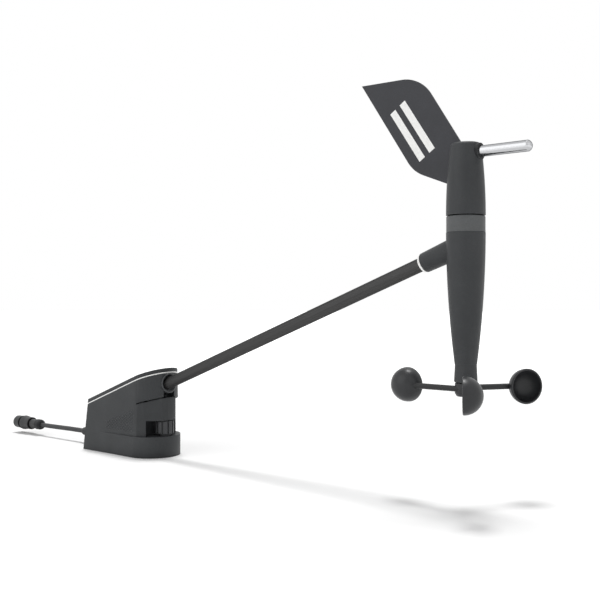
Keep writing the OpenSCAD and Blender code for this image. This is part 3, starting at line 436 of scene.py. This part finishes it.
# Black oxide on steel: nearly black, with a dull gleam.
black_steel = turned_metal("black_oxide_steel", "#1b1c1e", "#28292b",
                           roughness=0.42, line_mm=0.4, brushed=0.3)
dress(black_steel, "lock_bolt")
dress(dark_acetal, "wheel_washer")


# Arm
# A drawn aluminium tube, anodised dark, with a moulded spigot bonded in its lower end. Two rubber rings seal
# the spigot in its socket, four gold pins carry the signal, and a white ring finishes the tube at the pod.

# Dark anodising on drawn aluminium: fine die lines along the tube, and no bright edge at a slant.
DIE_LINE_MM, DIE_RUN_MM = 0.7, 160
anodised_tube, tree, shader, place = new_material(
    "anodised_aluminium_dark", Metallic=0.6, Specular_Tint=linear("#101010"), Specular_IOR_Level=0.3)
along = add_node(tree, "ShaderNodeMapping", {"Rotation": (0, ARM_ANGLE, 0)}, {"Vector": place},
                 vector_type="POINT")
drawn = add_node(tree, "ShaderNodeVectorMath", {1: (DIE_LINE_MM / DIE_RUN_MM, 1, 1)},
                 {0: along.outputs["Vector"]}, operation="MULTIPLY")
lines = add_node(tree, "ShaderNodeTexNoise", {"Scale": per_mm(DIE_LINE_MM), "Detail": 3},
                 {"Vector": drawn.outputs["Vector"]})
tone(tree, shader, lines.outputs["Fac"], "#3d3d3d", "#545454")
relief(tree, shader, lines.outputs["Fac"], smooth=0.36, rough=0.58, strength=0.5, deep_mm=0.03)
dress(anodised_tube, "arm_tube")
dress(dark_acetal, "arm_spigot")
dress(black_rubber, "spigot_seals")
dress(gold_brass, "spigot_pins")
dress(pvc_jacket, "arm_lead")
dress(white_trim, "arm_trim_ring")


# Pod
# A slim barrel of charcoal ASA on the arm's end, with a boss for the tube. A paler band on top holds the
# vane's bearings and a collar below holds the rotor's; the boards between them read both turns.

# Grey ASA with the same matt finish: it parts the barrel from the cap as a paler band.
band_asa = moulded_plastic("moulded_asa_grey", "#4b4d4e", "#5a5c5d", "#727475",
                           roughness=0.5, grain_mm=0.5, grain_deep_mm=0.02)
dress(charcoal_asa, "pod_shell", "rotor_housing")
dress(band_asa, "pod_band")
dress(black_rubber, "band_seal")
dress(turned_steel, "vane_bearings", "rotor_bearings")
dress(resist_board, "vane_board", "rotor_board")
dress(pvc_jacket, "pod_lead")


# Vane
# A turning cap on a steel shaft carries a flat moulded fin and, opposite it, a polished steel bar that
# balances it in a dark bush. Two plain white bars are printed on each side of the fin.
dress(charcoal_asa, "vane_cap")
# Slate ASA: as matt as the housing, with a cool cast.
fin_asa = moulded_plastic("moulded_asa_slate", "#292a2e", "#323338", "#4b4d52",
                          roughness=0.52, grain_mm=0.6, grain_deep_mm=0.02)
dress(fin_asa, "vane_fin")
soften("vane_fin", width_mm=0.25, segments=2)
# Polished steel mirrors the room, and turns darker where it is seen at a slant, which draws a line along both
# sides of the bar.
polished_steel = turned_metal("polished_stainless_steel", "#b2b3b5", "#c8c9cb",
                              roughness=0.15, line_mm=0.8, brushed=0.15, Specular_Tint=linear("#505254"))
dress(polished_steel, "counterweight")
dress(black_rubber, "weight_bush")
dress(turned_steel, "vane_shaft", "vane_clip")
# Nickel plating on a pressed magnet: a dull silver.
magnet_nickel = turned_metal("nickel_plated_magnet", "#8b8d90", "#a9abad",
                             roughness=0.3, line_mm=0.6, brushed=0.2)
dress(magnet_nickel, "vane_magnet")

FIN_T = 1.8
BAR_MIDDLE = Vector((343.2, 0, 294.1))
BAR_ALONG = Vector((0.562, 0, -0.827))
BAR_ACROSS = Vector((0.827, 0, 0.562))
BAR_LEN, BAR_W, BAR_PITCH = 50, 6, 11
PRINT_T, PRINT_SINK = 0.05, 0.02
bm = bmesh.new()
for side in (-1, 1):
    for step in (-0.5, 0.5):
        middle = BAR_MIDDLE + step * BAR_PITCH * BAR_ACROSS
        corners = [middle + a * BAR_LEN / 2 * BAR_ALONG + b * BAR_W / 2 * BAR_ACROSS
                   for a, b in ((-1, -1), (1, -1), (1, 1), (-1, 1))]
        under = [bm.verts.new((c.x * MM, side * (FIN_T / 2 - PRINT_SINK) * MM, c.z * MM)) for c in corners]
        over = [bm.verts.new((c.x * MM, side * (FIN_T / 2 + PRINT_T) * MM, c.z * MM)) for c in corners]
        bm.faces.new(under)
        bm.faces.new(over)
        for i in range(4):
            bm.faces.new((under[i], under[(i + 1) % 4], over[(i + 1) % 4], over[i]))
# Pad-printed ink: flat white, thin enough that its edge shows only as a line.
print_ink = moulded_plastic("pad_printed_ink_white", "#f4f4f2", "#fbfbf9", "#fdfdfb",
                            roughness=0.5, grain_mm=0.4, grain_deep_mm=0.01)
new_piece("fin_printed_bars", bm, print_ink, "vane")


# Rotor
# Three half-round cups on thin spokes, pushed into a hub on the lower shaft and held by a screw from below.
# The cups are thin mouldings with a rolled rim.

# ASA from a polished mould: smoother than the housing, so that the round cups shine softly.
cup_asa = moulded_plastic("moulded_asa_smooth", "#262729", "#2e2f31", "#454648",
                          roughness=0.36, grain_mm=0.6, grain_deep_mm=0.012)
dress(cup_asa, "rotor_hub", "cup_1", "cup_2", "cup_3")
soften("rotor_hub", width_mm=0.3, segments=2)
# Black ASA: darker than the cups, so that the spokes show as thin lines between them.
spoke_asa = moulded_plastic("moulded_asa_black", "#191a1b", "#212223", "#323334",
                            roughness=0.45, grain_mm=0.6, grain_deep_mm=0.012)
dress(spoke_asa, "rotor_spokes")
dress(turned_steel, "rotor_shaft", "hub_screw")
dress(magnet_nickel, "rotor_magnet")

POD_X = 391.4
CUPS, FIRST_CUP = 3, -62
CUP_CIRCLE_R, CUP_Z = 53.8, 90.319
BEAD_OUT_R, BEAD_R, BEAD_FLAT = 13.9, 0.75, 0.9
BEAD_STEPS, BEAD_SIDES = 96, 10
for i in range(CUPS):
    turned = Matrix.Rotation(math.radians(FIRST_CUP + 360 / CUPS * i), 3, "Z")
    bm = bmesh.new()
    rings = []
    for step in range(BEAD_STEPS):
        angle = 2 * math.pi * step / BEAD_STEPS
        ring = []
        for k in range(BEAD_SIDES):
            roll = 2 * math.pi * k / BEAD_SIDES
            r = BEAD_OUT_R - BEAD_R + BEAD_R * math.cos(roll)
            local = Vector((CUP_CIRCLE_R + r * math.cos(angle), BEAD_R * math.sin(roll) * BEAD_FLAT,
                            r * math.sin(angle)))
            ring.append(bm.verts.new((turned @ local + Vector((POD_X, 0, CUP_Z))) * MM))
        rings.append(ring)
    close_rings(bm, rings, smooth=True)
    new_piece(f"cup_{i + 1}_rim", bm, cup_asa, "rotor")


# Studio
# A pale floor that runs out of sight, a white surround, a large soft lamp to the left of the camera, a weaker
# one to the right, and a small high one behind the object that throws its shadow a little towards the camera.
# Places and sizes here are in metres, and lamps in watts.
FLOOR_R, FLOOR_SIDES, FLOOR_DROP = 12, 64, 0.00005
bm = bmesh.new()
bmesh.ops.create_circle(bm, cap_ends=True, segments=FLOOR_SIDES, radius=FLOOR_R)
floor_mesh = bpy.data.meshes.new("studio_floor")
bm.to_mesh(floor_mesh)
bm.free()
floor = bpy.data.objects.new("studio_floor", floor_mesh)
floor.location = (0, 0, -FLOOR_DROP)
bpy.context.scene.collection.objects.link(floor)


def seen_ray(tree):
    """1 for a ray from the camera, or one that gloss or a clear piece sends on, and 0 for one that lights."""
    path = add_node(tree, "ShaderNodeLightPath").outputs
    either = add_node(tree, "ShaderNodeMath", feeds={0: path["Is Camera Ray"], 1: path["Is Glossy Ray"]},
                      operation="MAXIMUM")
    return add_node(tree, "ShaderNodeMath",
                    feeds={0: either.outputs["Value"], 1: path["Is Transmission Ray"]},
                    operation="MAXIMUM").outputs["Value"]


# Matt white paint, rolled: it takes the soft shadows, and where the lamps no longer reach, it stays white to
# the eye.
ROLLER_MM = 700
GLOW_MIDDLE = (0.2, 0, 0)
GLOW_NEAR, GLOW_FAR = 0.45, 1.6
GLOW_LEAST, GLOW_MOST = 0.03, 0.5
floor_paint, tree, shader, place = new_material("rolled_matt_white_paint", Roughness=0.9,
                                                Specular_IOR_Level=0.1, Emission_Color=linear("#ffffff"))
shade = add_node(tree, "ShaderNodeTexNoise", {"Scale": per_mm(ROLLER_MM)}, {"Vector": place})
tone(tree, shader, shade.outputs["Fac"], "#f4f4f4", "#f8f8f8")
away = add_node(tree, "ShaderNodeVectorMath", {1: GLOW_MIDDLE}, {0: place}, operation="DISTANCE")
lift = add_node(tree, "ShaderNodeMapRange",
                {"From Min": GLOW_NEAR, "From Max": GLOW_FAR, "To Min": GLOW_LEAST, "To Max": GLOW_MOST},
                {"Value": away.outputs["Value"]}, interpolation_type="SMOOTHSTEP")
glow = add_node(tree, "ShaderNodeMath", feeds={0: lift.outputs["Result"], 1: seen_ray(tree)},
                operation="MULTIPLY")
tree.links.new(glow.outputs["Value"], shader.inputs["Emission Strength"])
floor.data.materials.append(floor_paint)

SURROUND_LIT, SURROUND_SEEN = 0.4, 1.0
world = bpy.data.worlds.new("studio_surround")
world.use_nodes = True
tree = world.node_tree
surround = tree.nodes["Background"]
surround.inputs["Color"].default_value = linear("#ffffff")
level = add_node(tree, "ShaderNodeMapRange", {"To Min": SURROUND_LIT, "To Max": SURROUND_SEEN},
                 {"Value": seen_ray(tree)})
tree.links.new(level.outputs["Result"], surround.inputs["Strength"])
bpy.context.scene.world = world

LAMP_AIM = Vector((0.2, 0, 0.15))
LAMPS = [
    ("soft_key", (-0.35, -1.5, 1.1), 1.8, 9),
    ("soft_fill", (1.6, -0.3, 0.7), 1.2, 1),
]
for name, spot, size, watts in LAMPS:
    lamp_data = bpy.data.lights.new(name, "AREA")
    lamp_data.energy = watts
    lamp_data.size = size
    lamp = bpy.data.objects.new(name, lamp_data)
    lamp.location = spot
    lamp.rotation_euler = (LAMP_AIM - Vector(spot)).to_track_quat("-Z", "Y").to_euler()
    bpy.context.scene.collection.objects.link(lamp)

HIGH_STRENGTH, HIGH_SPREAD = 2.0, math.radians(16)
HIGH_WAY = Vector((0.12, -0.15, -1))
high_data = bpy.data.lights.new("high_lamp", "SUN")
high_data.energy = HIGH_STRENGTH
high_data.angle = HIGH_SPREAD
high = bpy.data.objects.new("high_lamp", high_data)
high.rotation_euler = HIGH_WAY.to_track_quat("-Z", "Y").to_euler()
bpy.context.scene.collection.objects.link(high)

bpy.context.scene.view_settings.view_transform = "Standard"
